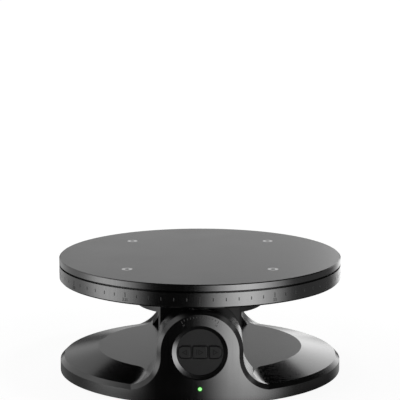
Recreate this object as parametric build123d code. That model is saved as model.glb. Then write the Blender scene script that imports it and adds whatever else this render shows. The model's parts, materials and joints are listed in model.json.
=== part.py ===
from build123d import *

import math
import os

# A motorised photo turntable. A round base carries two arched towers, a head tilts between them on the Y axis
# and a round platter spins on top of the head. Millimetres, Z up, floor at Z = 0, keypad facing -Y.

# Base form
BASE_R = 100.0
BASE_LOW = 2.0
SHOULDER_Z = 12.3
EDGE_CHAMFER = 2.8
PLATEAU_R = 72.7
PLATEAU_Z = 18.0
WALL = 2.6
PIVOT_Z = 37.6
ARCH_R = 28.9
FLARE_R = 22.5
FLARE_DROP = 0.5
TOWER_INNER_Y = 61.0
CREASE_R = 16.0
TROUGH_R = 29.4
TROUGH_WALL = 2.2

# Head and platter
HEAD_HALF_X = 28.4
HEAD_HALF_Y = 60.0
HEAD_WALL = 2.4
HEAD_EDGE = 1.3
HOUSING_R = 45.0
HOUSING_LOW = 50.0
COVER_LOW = 66.0
COVER_TOP = 68.0
PLATTER_R = 100.0
RING_LOW = 68.0
RING_TOP = 78.2
DISC_LOW = 79.6
PLATTER_TOP = 84.0
GROOVE_DEPTH = 5.0
RING_CHAMFER = 1.0
DISC_CHAMFER = 0.6
RIM_WALL = 4.0
WEB_LOW = 75.5
DISC_SCREW_XY = 50.0

# Fits
SNUG = 0.02
LOOSE = 0.05

# Deep-groove ball bearings, 15 x 24 x 5 mm
BEARING_R = 12.0
BEARING_BORE_R = 7.5
BEARING_W = 5.0
INNER_RING_R = 9.05
OUTER_RING_R = 10.45
BALL_PITCH_R = 9.75
BALL_R = 1.39
BALL_GROOVE_R = 1.45
BALL_COUNT = 13
SHAFT_R = BEARING_BORE_R - SNUG
CLIP_W = 1.0
CLIP_SEAT_R = 7.0
CLIP_R = 9.0

# Gears
PRESSURE_ANGLE = math.radians(25)
ADDENDUM = 0.85
DEDENDUM = 1.15
TOOTH_THINNING = 0.08
SPIN_MODULE = 1.0
SPIN_GEAR_TEETH = 50
SPIN_PINION_TEETH = 14
SPIN_GEAR_Z = (58.0, 64.0)
TILT_MODULE = 0.8
TILT_GEAR_TEETH = 40
TILT_PINION_TEETH = 12
TILT_GEAR_Y = (71.5, 77.5)
SPIN_CENTRES = SPIN_MODULE * (SPIN_GEAR_TEETH + SPIN_PINION_TEETH) / 2
TILT_CENTRES = TILT_MODULE * (TILT_GEAR_TEETH + TILT_PINION_TEETH) / 2

# Screws, by thread radius
M2 = 1.0
M3 = 1.5
M4 = 2.0
FLAT_HEAD = 1.85

BOTTOM = (Align.CENTER, Align.CENTER, Align.MIN)
TINY = 0.01


# ---------------------------------------------------------------------------------------------- plain shapes
def rod(radius, low, high, x=0.0, y=0.0):
    return Pos(x, y, low) * Cylinder(radius, high - low, align=BOTTOM)


def tube(outer_r, inner_r, low, high):
    return rod(outer_r, low, high) - rod(inner_r, low - 1, high + 1)


def block(x0, x1, y0, y1, z0, z1):
    size = Box(x1 - x0, y1 - y0, z1 - z0, align=(Align.MIN, Align.MIN, Align.MIN))
    return Pos(x0, y0, z0) * size


def turned(*profile):
    return revolve(Plane.XZ * make_face(Polyline(*profile, close=True)), Axis.Z)


def to_rear(shape, x=0.0, z=PIVOT_Z):
    """Lays a shape made along +Z down along +Y, on the line through x and z."""
    return Pos(x, 0, z) * Rot(-90, 0, 0) * shape


def to_front(shape, x=0.0, z=PIVOT_Z):
    """Lays a shape made along +Z down along -Y, on the line through x and z."""
    return Pos(x, 0, z) * Rot(90, 0, 0) * shape


def around(count, radius, first=0.0):
    """Points evenly spaced on a circle, as (x, y) pairs."""
    turns = [math.radians(first + 360 * step / count) for step in range(count)]
    return [(radius * math.cos(turn), radius * math.sin(turn)) for turn in turns]


def hexagon(across_flats, low, high):
    flats = RegularPolygon(across_flats / 2, 6, major_radius=False)
    return Pos(0, 0, low) * extrude(flats, amount=high - low)


def solids_of(shapes):
    """One node made of several separate pieces."""
    pieces = []
    for shape in shapes:
        pieces.extend(shape.solids())
    return Compound(children=pieces)


# -------------------------------------------------------------------------------------------- standard parts
def pan_screw(thread_r, length):
    """Head above Z = 0, shank below it, hex socket in the head."""
    head_h = 1.1 * thread_r
    head = rod(1.8 * thread_r, 0, head_h) - hexagon(1.3 * thread_r, 0.4 * head_h, head_h + 1)
    return head + rod(thread_r, -length, TINY)


def sink_profile(thread_r, depth):
    head_r = FLAT_HEAD * thread_r
    land = 0.2 * thread_r
    cone_low = -land - (head_r - thread_r)
    return [(0, 0), (head_r, 0), (head_r, -land), (thread_r, cone_low), (thread_r, -depth), (0, -depth)]


def flat_screw(thread_r, length):
    """Countersunk screw with its top at Z = 0 and a hex socket."""
    socket = hexagon(1.45 * thread_r, -0.85 * thread_r, 1)
    return turned(*sink_profile(thread_r, length)) - socket


def flat_screw_hole(thread_r, depth):
    """The countersink that seats a flat screw, with a clear shank hole."""
    return turned(*sink_profile(thread_r, 2 * thread_r)) + rod(thread_r + LOOSE, -depth, -thread_r)


def bearing(low):
    """Outer ring, inner ring and balls of one bearing about the Z axis, from low upwards."""
    high = low + BEARING_W
    centre = (low + high) / 2
    race = Pos(0, 0, centre) * Torus(BALL_PITCH_R, BALL_GROOVE_R)
    outer = tube(BEARING_R, OUTER_RING_R, low, high) - race
    inner = tube(INNER_RING_R, BEARING_BORE_R, low, high) - race
    balls = solids_of(Pos(x, y, centre) * Sphere(BALL_R) for x, y in around(BALL_COUNT, BALL_PITCH_R))
    return outer, inner, balls


def circlip(low, high):
    open_side = block(0, 2 * CLIP_R, -3, 3, low - 1, high + 1)
    return tube(CLIP_R, CLIP_SEAT_R + SNUG, low, high) - open_side


def involute(angle):
    return math.tan(angle) - angle


def tooth_half_angle(teeth, pitch_r, radius):
    """Half the angle a tooth covers at a radius on its involute flank."""
    base_r = pitch_r * math.cos(PRESSURE_ANGLE)
    flank = involute(math.acos(min(1.0, base_r / radius)))
    at_pitch = math.pi / (2 * teeth) - TOOTH_THINNING / (2 * pitch_r)
    return at_pitch + involute(PRESSURE_ANGLE) - flank


def gear(module, teeth, low, high, first_tooth):
    """Spur gear about the Z axis, with one tooth centred at the first_tooth angle in degrees."""
    pitch_r = module * teeth / 2
    root_r = pitch_r - DEDENDUM * module
    tip_r = pitch_r + ADDENDUM * module
    flank_low = max(root_r, pitch_r * math.cos(PRESSURE_ANGLE))
    steps = 4
    flank = [flank_low + (tip_r - flank_low) * step / steps for step in range(steps + 1)]
    rising = [(radius, -tooth_half_angle(teeth, pitch_r, radius)) for radius in flank]
    falling = [(radius, -turn) for radius, turn in reversed(rising)]
    tooth_side = rising + falling
    if flank_low > root_r + TINY:
        foot = tooth_half_angle(teeth, pitch_r, flank_low)
        tooth_side = [(root_r, -foot)] + tooth_side + [(root_r, foot)]
    outline = []
    for tooth in range(teeth):
        middle = math.radians(first_tooth) + 2 * math.pi * tooth / teeth
        for radius, turn in tooth_side:
            outline.append((radius * math.cos(middle + turn), radius * math.sin(middle + turn)))
    face = make_face(Polyline(*outline, close=True))
    return Pos(0, 0, low) * extrude(face, amount=high - low)


def cable(radius, bend_r, *points):
    path = FilletPolyline(*points, radius=bend_r)
    return sweep(Plane(path @ 0, z_dir=path % 0) * Circle(radius), path=path)


# ------------------------------------------------------------------------------------------------- base form
def plinth(radius, low, shoulder, edge, plateau):
    """The round foot: rim, chamfer, gently sloping shoulder and flat middle."""
    return turned(
        (0, low), (radius, low), (radius, shoulder - edge), (radius - edge, shoulder),
        (PLATEAU_R, plateau), (0, plateau),
    )


def tower(radius, low, foot, edge, half_width, flare_r, inner_y, front):
    """An arch with flared feet that stands on one side and follows the round rim."""
    reach = half_width + flare_r
    flare_z = foot + flare_r
    diagonal = flare_r * math.sqrt(0.5)
    bend_x = reach - diagonal
    bend_z = flare_z - diagonal
    outline = [
        ThreePointArc((-reach, foot), (-bend_x, bend_z), (-half_width, flare_z)),
        Line((-half_width, flare_z), (-half_width, PIVOT_Z)),
        ThreePointArc((-half_width, PIVOT_Z), (0, PIVOT_Z + half_width), (half_width, PIVOT_Z)),
        Line((half_width, PIVOT_Z), (half_width, flare_z)),
        ThreePointArc((half_width, flare_z), (bend_x, bend_z), (reach, foot)),
        Polyline((reach, foot), (reach, low), (-reach, low), (-reach, foot)),
    ]
    slab = extrude(Plane.XZ * make_face(outline), amount=radius + 5)
    drum = rod(radius, low, 100)
    solid = ((slab & drum) - Box(3 * radius, 2 * inner_y, 300)).solids()[0]
    if edge > 0:
        solid = chamfer([e for e in solid.edges() if is_arch_rim(e, radius, low, reach)], edge)
    return solid if front else solid.rotate(Axis.Z, 180)


def is_arch_rim(edge, radius, low, reach):
    """True for the edges of a tower's outer face, but not for its bottom or its two upright ends."""
    points = [edge @ share for share in (0, 0.37, 0.5, 1)]
    on_drum = all(abs(math.hypot(point.X, point.Y) - radius) < 0.001 for point in points)
    middle = edge @ 0.5
    return on_drum and middle.Z > low + 0.5 and abs(middle.X) < reach - 1


def is_crease(edge):
    """True where a flared foot meets the sloping shoulder."""
    middle = edge @ 0.5
    beside_arch = ARCH_R + 6 < abs(middle.X) < ARCH_R + FLARE_R
    beside_tower = TOWER_INNER_Y - 1 < abs(middle.Y) < 80
    on_slope = SHOULDER_Z - 0.3 < middle.Z < PLATEAU_Z - 0.1
    return beside_arch and beside_tower and on_slope


def base_form():
    form = plinth(BASE_R, BASE_LOW, SHOULDER_Z, EDGE_CHAMFER, PLATEAU_Z)
    for front in (True, False):
        foot = SHOULDER_Z - FLARE_DROP
        form += tower(BASE_R, BASE_LOW, foot, EDGE_CHAMFER, ARCH_R, FLARE_R, TOWER_INNER_Y, front)
    return fillet([edge for edge in form.edges() if is_crease(edge)], CREASE_R)


# ------------------------------------------------------------------------------------------ base dimensions
PLATE_R = 96.9
PLATE_TOP = 4.0
PLATE_SCREWS = around(6, 86.0)
PLATE_BOSS_R = 3.6
FOOT_XY = 62.0
FOOT_R = 7.0
FOOT_STEM_R = 4.0

CAVITY_R = BASE_R - WALL
TOWER_WALL_Y = TOWER_INNER_Y + WALL
SEAT_R = 15.0
SEAT_END_Y = TOWER_WALL_Y + BEARING_W + 0.4
SHAFT_HOLE_R = 10.0

DISH_R = 18.6
DISH_SLOPE_Y = (97.2, 98.1)
DISH_FLOOR_R = 15.75
DISH_FLOOR_Y = 96.9
DISH_BOSS_R = 20.0
DISH_BOSS_END_Y = 92.0
FASCIA_R = 17.5
FASCIA_T = 1.8
BUTTON_H = 8.4
BUTTON_MID_W = 9.6
BUTTON_SIDE_X = (6.2, 14.4)
BUTTON_PROUD = 0.9
BUTTON_GAP = 0.45
BUTTON_TRAVEL = 0.45
BUTTON_LIP = 0.8
BUTTON_EDGE = 0.7
BUTTON_REACH = 0.65
KEY_BOARD_Y = (89.6, 91.2)
KEY_BOARD_R = 17.0
KEY_POST_XY = 11.0
LENS_R = 1.7
LENS_Z = 13.0

JACK_X = -14.0
JACK_Z = 13.0
JACK_R = 4.1
JACK_BORE_R = 2.8
JACK_PIN_R = 1.0
JACK_FACE_Y = 98.8

MOTOR_OFFSET = TILT_CENTRES * math.sqrt(0.5)
TILT_MOTOR_R = 10.0
TILT_MOTOR_Y = (80.0, 93.0)
BRACKET_Y = (78.0, 80.0)
BRACKET_SCREWS = [(0.0, 13.0), (-16.6, 53.6), (16.6, 53.6)]
TILT_MOTOR_SCREW_R = 6.5
NUT_HOLE_R = 10.5

MAIN_BOARD = (36.0, 82.0, -27.0, 27.0)
MAIN_BOARD_Z = (7.0, 8.6)
BOARD_POST_R = 2.6
SOCKET_H = 4.0
KEY_SOCKET_Y = -14.0
HEAD_SOCKET_Y = -4.0
POWER_SOCKET_Y = 6.0
MOTOR_SOCKET_Y = 16.0


# ----------------------------------------------------------------------------------------------- base pieces
def keypad_dish():
    """A straight bore, a shallow slope down to the fascia and the fascia's own seat behind it."""
    slope_low, slope_high = DISH_SLOPE_Y
    mouth_y = BASE_R + 2
    opening = turned(
        (0, DISH_FLOOR_Y), (DISH_FLOOR_R, DISH_FLOOR_Y), (DISH_FLOOR_R, slope_low), (DISH_R, slope_high),
        (DISH_R, mouth_y), (0, mouth_y),
    )
    seat = rod(FASCIA_R + LOOSE, DISH_BOSS_END_Y - 1, DISH_FLOOR_Y)
    return to_front(opening + seat)


def base_shell():
    outer = base_form()
    trough_outer = to_rear(rod(TROUGH_R + TROUGH_WALL, -TOWER_WALL_Y, TOWER_WALL_Y))
    under = plinth(CAVITY_R, BASE_LOW - 1, SHOULDER_Z - WALL + 0.2, EDGE_CHAMFER - 1.3, PLATEAU_Z - WALL)
    shell = outer - (under - trough_outer)
    for front in (True, False):
        foot = SHOULDER_Z - FLARE_DROP - WALL
        inside = tower(CAVITY_R, BASE_LOW - 1, foot, 0, ARCH_R - WALL, FLARE_R + WALL, TOWER_WALL_Y, front)
        shell -= inside
    shell -= to_rear(rod(TROUGH_R, -TOWER_INNER_Y, TOWER_INNER_Y))
    for place in (to_front, to_rear):
        shell += place(rod(SEAT_R, TOWER_WALL_Y - 0.5, SEAT_END_Y))
        shell -= place(rod(BEARING_R + SNUG, TOWER_WALL_Y, SEAT_END_Y + 1))
        shell -= place(rod(SHAFT_HOLE_R, TOWER_INNER_Y - 1, TOWER_WALL_Y + 1))
    shell += to_front(rod(DISH_BOSS_R, DISH_BOSS_END_Y, CAVITY_R + 0.2))
    shell -= keypad_dish()
    shell -= to_front(rod(LENS_R + LOOSE, CAVITY_R - 2, BASE_R + 1), 0, LENS_Z)
    shell -= to_rear(rod(JACK_R + LOOSE, CAVITY_R - 4, BASE_R + 1), JACK_X, JACK_Z)
    for x, z in BRACKET_SCREWS:
        shell += to_rear(rod(2.8, TOWER_WALL_Y - 0.5, BRACKET_Y[0]), x, z)
        shell -= to_rear(rod(M3 + LOOSE, BRACKET_Y[0] - 9, BRACKET_Y[0] + 1), x, z)
    for x, y in PLATE_SCREWS:
        shell += rod(PLATE_BOSS_R, PLATE_TOP, 20, x, y) & outer
        shell -= rod(M3 + LOOSE, PLATE_TOP - 1, PLATE_TOP + 6.5, x, y)
    return shell


def board_posts():
    x0, x1, y0, y1 = MAIN_BOARD
    inset = 4.0
    return [(x, y) for x in (x0 + inset, x1 - inset) for y in (y0 + inset, y1 - inset)]


def base_plate():
    plate = rod(PLATE_R, BASE_LOW, PLATE_TOP)
    for x, y in PLATE_SCREWS:
        plate -= Pos(x, y, BASE_LOW) * Rot(180, 0, 0) * flat_screw_hole(M3, 5)
    for x in (-FOOT_XY, FOOT_XY):
        for y in (-FOOT_XY, FOOT_XY):
            plate -= rod(FOOT_STEM_R + LOOSE, BASE_LOW - 1, PLATE_TOP + 1, x, y)
    for x, y in board_posts():
        plate += rod(BOARD_POST_R, PLATE_TOP - 0.5, MAIN_BOARD_Z[0], x, y)
        plate -= rod(M2 + LOOSE, BASE_LOW + 1, MAIN_BOARD_Z[0] + 1, x, y)
    return plate


def base_plate_screws():
    return solids_of(Pos(x, y, BASE_LOW) * Rot(180, 0, 0) * flat_screw(M3, 8) for x, y in PLATE_SCREWS)


def foot(x, y):
    pad = turned((0, 0), (FOOT_R - 0.6, 0), (FOOT_R, 0.6), (FOOT_R, BASE_LOW), (0, BASE_LOW))
    return Pos(x, y, 0) * (pad + rod(FOOT_STEM_R, BASE_LOW - 0.5, PLATE_TOP))


def button_outline(side, grow=0.0):
    """Flat outline of one key: 0 is the middle one, -1 and 1 the ones with a rounded outer end."""
    half_h = BUTTON_H / 2 + grow
    if side == 0:
        return RectangleRounded(BUTTON_MID_W + 2 * grow, 2 * half_h, 1.2 + grow)
    near, far = BUTTON_SIDE_X
    width = far - near + 2 * grow
    plain = Pos((near + far) / 2, 0) * Rectangle(width, 2 * half_h)
    corners = plain.vertices().sort_by(Axis.X)
    plain = fillet(corners[2:], 3.4 + grow)
    plain = fillet(plain.vertices().sort_by(Axis.X)[:2], 1.0 + grow)
    return plain if side > 0 else mirror(plain, about=Plane.YZ)


def button(side):
    """A key cap, proud of the fascia, with a lip behind it that stops it coming out."""
    cap_y = DISH_FLOOR_Y + BUTTON_PROUD
    back_y = DISH_FLOOR_Y - FASCIA_T
    cap = Pos(0, 0, back_y - TINY) * extrude(button_outline(side), amount=cap_y - back_y + TINY)
    cap = fillet(cap.faces().sort_by(Axis.Z)[-1].edges(), BUTTON_EDGE)
    lip = Pos(0, 0, back_y - BUTTON_LIP) * extrude(button_outline(side, BUTTON_REACH), amount=BUTTON_LIP)
    return to_front(cap + lip)


def keypad_fascia():
    back_y = DISH_FLOOR_Y - FASCIA_T
    disc = rod(FASCIA_R, back_y, DISH_FLOOR_Y)
    for side in (-1, 0, 1):
        disc -= Pos(0, 0, back_y - 1) * extrude(button_outline(side, BUTTON_GAP), amount=FASCIA_T + 2)
    for x, y in around(4, KEY_POST_XY * math.sqrt(2), 45):
        disc += rod(1.9, KEY_BOARD_Y[1], back_y + 0.5, x, y)
        disc -= rod(M2 + LOOSE, KEY_BOARD_Y[1] - 1, back_y + 0.6, x, y)
    return to_front(disc)


def keypad_board():
    """Round board behind the keys, with three switches and a tongue down to the indicator."""
    low, high = KEY_BOARD_Y
    tongue_low = PIVOT_Z - LENS_Z + 4
    board = rod(KEY_BOARD_R, low, high) + block(-5, 5, -tongue_low, 0, low, high)
    for x, y in around(4, KEY_POST_XY * math.sqrt(2), 45):
        board -= rod(M2 + LOOSE, low - 1, high + 1, x, y)
    switch_high = DISH_FLOOR_Y - FASCIA_T - BUTTON_LIP - BUTTON_TRAVEL - 0.05
    parts = [board]
    middle_side = sum(BUTTON_SIDE_X) / 2
    for x in (-middle_side, 0, middle_side):
        parts.append(block(x - 3, x + 3, -3, 3, high, switch_high))
    chip_y = LENS_Z - PIVOT_Z
    parts.append(block(-1.2, 1.2, chip_y - 1, chip_y + 1, high, high + 0.8))
    parts.append(block(-4, 4, 8, 12, low - 4, low))
    return to_front(solids_of(parts))


def board_screws():
    """Four screws behind the keypad board and four in the main board."""
    screws = []
    for x, y in around(4, KEY_POST_XY * math.sqrt(2), 45):
        screws.append(to_front(Pos(x, y, KEY_BOARD_Y[0]) * Rot(180, 0, 0) * pan_screw(M2, 4)))
    for x, y in board_posts():
        screws.append(Pos(x, y, MAIN_BOARD_Z[1]) * pan_screw(M2, 4.5))
    return solids_of(screws)


def status_lens():
    tail_y = KEY_BOARD_Y[1] + 1.0
    lens = rod(LENS_R, tail_y, BASE_R - 0.05) + rod(LENS_R + 1, CAVITY_R - 1.05, CAVITY_R - LOOSE)
    return to_front(lens, 0, LENS_Z)


def dc_jack():
    body = block(-4.5, 4.5, -5.2, 5.2, 83, 94) + rod(JACK_R, 93.5, JACK_FACE_Y)
    body -= rod(JACK_BORE_R, 88, JACK_FACE_Y + 1)
    body += rod(JACK_PIN_R, 87.5, JACK_FACE_Y - 1)
    return to_rear(body, JACK_X, JACK_Z)


def main_board():
    x0, x1, y0, y1 = MAIN_BOARD
    low, high = MAIN_BOARD_Z
    board = block(x0, x1, y0, y1, low, high)
    for x, y in board_posts():
        board -= rod(M2 + LOOSE, low - 1, high + 1, x, y)
    chip = block(52, 61, -5, 4, high, high + 1.4)
    radio = block(64, 78, -9, 9, high, high + 2.4)
    capacitor = rod(3.2, high, high + 4.5, 45, 14)
    sockets = []
    for y in (KEY_SOCKET_Y, HEAD_SOCKET_Y, POWER_SOCKET_Y, MOTOR_SOCKET_Y):
        sockets.append(block(x0, x0 + 5, y - 4, y + 4, high, high + SOCKET_H))
    return solids_of([board, chip, radio, capacitor] + sockets)


def tilt_motor():
    """Small round gear motor on its side, with the hole its output shaft turns in."""
    low, high = TILT_MOTOR_Y
    can = rod(TILT_MOTOR_R, low, high) + rod(3.5, BRACKET_Y[0], low + 1)
    tail = rod(4, high - 1, high + 1.2)
    motor = can + tail - rod(M3 + LOOSE, BRACKET_Y[0] - 1, low + 5)
    for x, y in around(2, TILT_MOTOR_SCREW_R, 45):
        motor -= rod(M2 + LOOSE, low - 1, low + 4, x, y)
    return to_rear(motor, MOTOR_OFFSET, PIVOT_Z - MOTOR_OFFSET)


def tilt_motor_bracket():
    low, high = BRACKET_Y
    half = ARCH_R - WALL - 0.6
    plate = to_rear(rod(half, low, high)) + block(-half, half, low, high, 10, PIVOT_Z)
    plate -= to_rear(rod(NUT_HOLE_R, low - 1, high + 1))
    motor_x = MOTOR_OFFSET
    motor_z = PIVOT_Z - MOTOR_OFFSET
    plate -= to_rear(rod(3.5 + LOOSE, low - 1, high + 1), motor_x, motor_z)
    for x, y in around(2, TILT_MOTOR_SCREW_R, 45):
        plate -= to_rear(rod(M2 + LOOSE, low - 1, high + 1, x, y), motor_x, motor_z)
    for x, z in BRACKET_SCREWS:
        plate -= to_rear(rod(M3 + LOOSE, low - 1, high + 1), x, z)
    return plate


def bracket_screws():
    """Three screws hold the bracket and two hold the motor to it."""
    screws = [to_rear(Pos(0, 0, BRACKET_Y[1]) * pan_screw(M3, 9), x, z) for x, z in BRACKET_SCREWS]
    for x, y in around(2, TILT_MOTOR_SCREW_R, 45):
        screw = Pos(x, y, BRACKET_Y[0]) * Rot(180, 0, 0) * small_screw()
        screws.append(to_rear(screw, MOTOR_OFFSET, PIVOT_Z - MOTOR_OFFSET))
    return solids_of(screws)


def small_screw():
    """A motor screw whose thin head clears the teeth beside it."""
    return rod(1.5, 0, 0.4) + rod(M2, -5, TINY)


def base_wiring():
    """Head cable out through the front shaft, and leads to the keypad, the tilt motor and the power inlet."""
    edge = MAIN_BOARD[0]
    socket_z = MAIN_BOARD_Z[1] + SOCKET_H / 2
    near_lane = 27.0
    far_lane = 32.4
    floor_z = 6.8
    head = cable(
        1.5, 2.8, (0, -CABLE_END_Y, PIVOT_Z), (0, -76, PIVOT_Z), (4, -76, 9), (near_lane, -70, 9),
        (near_lane, HEAD_SOCKET_Y, socket_z), (edge, HEAD_SOCKET_Y, socket_z),
    )
    keys = cable(
        1.0, 2, (0, 4 - KEY_BOARD_Y[0], PIVOT_Z + 10), (0, -81, PIVOT_Z + 10), (-8, -81, floor_z),
        (far_lane, -79, floor_z), (far_lane, KEY_SOCKET_Y, socket_z), (edge, KEY_SOCKET_Y, socket_z),
    )
    motor = cable(
        1.0, 2, (MOTOR_OFFSET, 88, 12.8), (MOTOR_OFFSET, 88, floor_z), (28, 74, floor_z), (far_lane, 50, 8),
        (far_lane, MOTOR_SOCKET_Y, socket_z), (edge, MOTOR_SOCKET_Y, socket_z),
    )
    power = cable(
        1.0, 2, (JACK_X + 4.5, 87, 10), (JACK_X + 8, 87, 10), (JACK_X + 11.5, 84, floor_z),
        (JACK_X + 11.5, 74, floor_z),
        (near_lane, 66, floor_z), (near_lane, POWER_SOCKET_Y, socket_z), (edge, POWER_SOCKET_Y, socket_z),
    )
    return solids_of([head, keys, motor, power])


# ----------------------------------------------------------------------------------------- head dimensions
FLANGE_Y = (52.6, 55.6)
FLANGE_R = 14.0
PAD_R = 16.0
TRUNNION_SHOULDER_R = 8.4
TRUNNION_SCREW_R = 11.2
TRUNNION_BORE_R = 4.0
CABLE_END_Y = 51.5
NUT_SEAT_R = 6.0
GEAR_STEP_Y = 70.2

DECK_Z = (52.4, 55.4)
DECK_R = 42.4
DECK_HALF_X = 25.8
DECK_HALF_Y = 50.4
BEARING_TUBE_R = 13.8
LOWER_BEARING_Z = 37.4
UPPER_BEARING_Z = DECK_Z[1] - BEARING_W
DECK_SCREWS = [(x, y) for x in (-36.0, 36.0) for y in (-14.0, 14.0)]
CORNER_POSTS = [(x, y) for x in (-23.2, 23.2) for y in (-54.8, 54.8)]
SIDE_POSTS = [(-39.8, 0.0), (39.8, 0.0)]
POST_R = 3.2

SPIN_MOTOR_W = 35.2
SPIN_MOTOR_LOW = 26.4
SPIN_MOTOR_PITCH = 26.0
SPIN_PILOT_R = 11.0
SPIN_SHAFT_R = 2.5

DRIVER_BOARD = (-19.0, 19.0, -50.0, -17.0)
DRIVER_BOARD_Z = (24.0, 25.6)

HUB_R = 20.0
HUB_Z = (72.5, 75.5)
HUB_SCREW_R = 15.5
COLLAR_R = 11.0
COVER_HOLE_R = 13.0


# ----------------------------------------------------------------------------------------------- head pieces
def head_outline(low, high, shrink=0.0):
    """Plan outline of the head: a long block joined to the round housing."""
    slab = block(
        -HEAD_HALF_X + shrink, HEAD_HALF_X - shrink, -HEAD_HALF_Y + shrink, HEAD_HALF_Y - shrink, low, high
    )
    return slab + rod(HOUSING_R - shrink, low, high)


def head_block(shrink):
    """The tilting block with its round belly, centred on the tilt axis."""
    half_x = HEAD_HALF_X - shrink
    half_y = HEAD_HALF_Y - shrink
    belly = to_rear(rod(half_x, -half_y, half_y))
    return block(-half_x, half_x, -half_y, half_y, PIVOT_Z, COVER_LOW) + belly


def is_block_end(edge):
    middle = edge @ 0.5
    on_end = abs((edge @ 0).Y) > HEAD_HALF_Y - TINY and abs((edge @ 1).Y) > HEAD_HALF_Y - TINY
    return on_end and abs(middle.Y) > HEAD_HALF_Y - TINY and middle.Z < COVER_LOW - TINY


def driver_posts():
    x0, x1, y0, y1 = DRIVER_BOARD
    return [(x, y) for x in (x0 + 3, x1 - 3) for y in (y0 + 3, y1 - 3)]


def head_casing():
    body = head_block(0)
    body = chamfer([edge for edge in body.edges() if is_block_end(edge)], HEAD_EDGE)
    outer = body + rod(HOUSING_R, HOUSING_LOW, COVER_LOW)
    casing = outer - head_block(HEAD_WALL)
    casing -= rod(HOUSING_R - HEAD_WALL, HOUSING_LOW + HEAD_WALL, COVER_LOW + 1)
    for place in (to_front, to_rear):
        casing += place(rod(PAD_R, FLANGE_Y[1], HEAD_HALF_Y - 1))
        casing -= place(rod(TRUNNION_SHOULDER_R + LOOSE, FLANGE_Y[1] - 1, HEAD_HALF_Y + 1))
        for x, y in around(3, TRUNNION_SCREW_R, 90 if place is to_front else -90):
            casing -= place(rod(M3 + LOOSE, FLANGE_Y[1] - 1, HEAD_HALF_Y - 0.6, x, y))
    for x, y in CORNER_POSTS:
        casing += rod(POST_R, PIVOT_Z, COVER_LOW, x, y)
    for x, y in SIDE_POSTS:
        casing += rod(POST_R, HOUSING_LOW + 1, COVER_LOW, x, y)
    for x, y in CORNER_POSTS + SIDE_POSTS:
        casing -= rod(M3 + LOOSE, COVER_LOW - 8, COVER_LOW + 1, x, y)
    for x, y in DECK_SCREWS:
        casing -= rod(M3 + LOOSE, HOUSING_LOW + 0.4, COVER_LOW, x, y)
    for x, y in driver_posts():
        casing += rod(2.0, 15.8, DRIVER_BOARD_Z[0], x, y)
        casing += rod(M2, DRIVER_BOARD_Z[0] - 1, DRIVER_BOARD_Z[1] + 1, x, y)
    return casing


def head_cover():
    cover = head_outline(COVER_LOW, COVER_TOP)
    cover -= rod(COVER_HOLE_R, COVER_LOW - 1, COVER_TOP + 1)
    for x, y in CORNER_POSTS + SIDE_POSTS:
        cover -= Pos(x, y, COVER_TOP) * flat_screw_hole(M3, 5)
    return cover


def head_cover_screws():
    return solids_of(Pos(x, y, COVER_TOP) * flat_screw(M3, 9) for x, y in CORNER_POSTS + SIDE_POSTS)


def motor_holes():
    half = SPIN_MOTOR_PITCH / 2
    return [(x, SPIN_CENTRES + y) for x in (-half, half) for y in (-half, half)]


def gear_deck():
    """Plate that hangs the spin motor and holds the spindle's two bearings in one tube."""
    low, high = DECK_Z
    deck = rod(DECK_R, low, high) + block(-DECK_HALF_X, DECK_HALF_X, -DECK_HALF_Y, DECK_HALF_Y, low, high)
    deck += rod(BEARING_TUBE_R, LOWER_BEARING_Z, low + 1)
    deck -= rod(BEARING_R + SNUG, UPPER_BEARING_Z, high + 1)
    deck -= rod(BEARING_R + SNUG, LOWER_BEARING_Z - 1, LOWER_BEARING_Z + BEARING_W)
    deck -= rod(SHAFT_HOLE_R, LOWER_BEARING_Z, high)
    deck -= rod(SPIN_PILOT_R + LOOSE, low - 1, high + 1, 0, SPIN_CENTRES)
    for x, y in motor_holes() + DECK_SCREWS:
        deck -= rod(M3 + LOOSE, low - 1, high + 1, x, y)
    for x, y in SIDE_POSTS:
        deck -= rod(POST_R + 0.4, low - 1, high + 1, x, y)
    return deck


def deck_screws():
    """Four screws hold the deck down and four hold the spin motor under it."""
    deck = [Pos(x, y, DECK_Z[1]) * pan_screw(M3, 4.8) for x, y in DECK_SCREWS]
    motor = [Pos(x, y, DECK_Z[1]) * pan_screw(M3, 7) for x, y in motor_holes()]
    return solids_of(deck + motor)


def spin_motor():
    """Square stepper motor, with end caps a little wider than its middle."""
    top = DECK_Z[0]
    half = SPIN_MOTOR_W / 2
    body = block(-half, half, -half, half, SPIN_MOTOR_LOW, top)
    body = chamfer([edge for edge in body.edges() if abs((edge @ 0).Z - (edge @ 1).Z) > 1], 3.5)
    waist = block(-half - 1, half + 1, -half - 1, half + 1, SPIN_MOTOR_LOW + 8, top - 8)
    waist -= block(-half + 0.6, half - 0.6, -half + 0.6, half - 0.6, SPIN_MOTOR_LOW, top)
    body -= waist
    body += rod(SPIN_PILOT_R, top - 1, DECK_Z[1] - 1)
    body -= rod(SPIN_SHAFT_R + LOOSE, top - 8, top + 5)
    motor = Pos(0, SPIN_CENTRES, 0) * body
    for x, y in motor_holes():
        motor -= rod(M3 + LOOSE, top - 4.5, top + 1, x, y)
    return motor


def driver_board():
    """Board in the front of the head, with the block that takes the head cable on the tilt axis."""
    low, high = DRIVER_BOARD_Z
    x0, x1, y0, y1 = DRIVER_BOARD
    board = block(x0, x1, y0, y1, low, high)
    for x, y in driver_posts():
        board -= rod(M2 + LOOSE, low - 1, high + 1, x, y)
    entry = block(-4, 4, TINY - CABLE_END_Y, -45, high, PIVOT_Z + 4)
    driver = block(-8, 8, -38, -24, high, high + 3)
    socket = block(8, 13, -44, -34, high, high + 6)
    return solids_of([board, entry, driver, socket])


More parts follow.
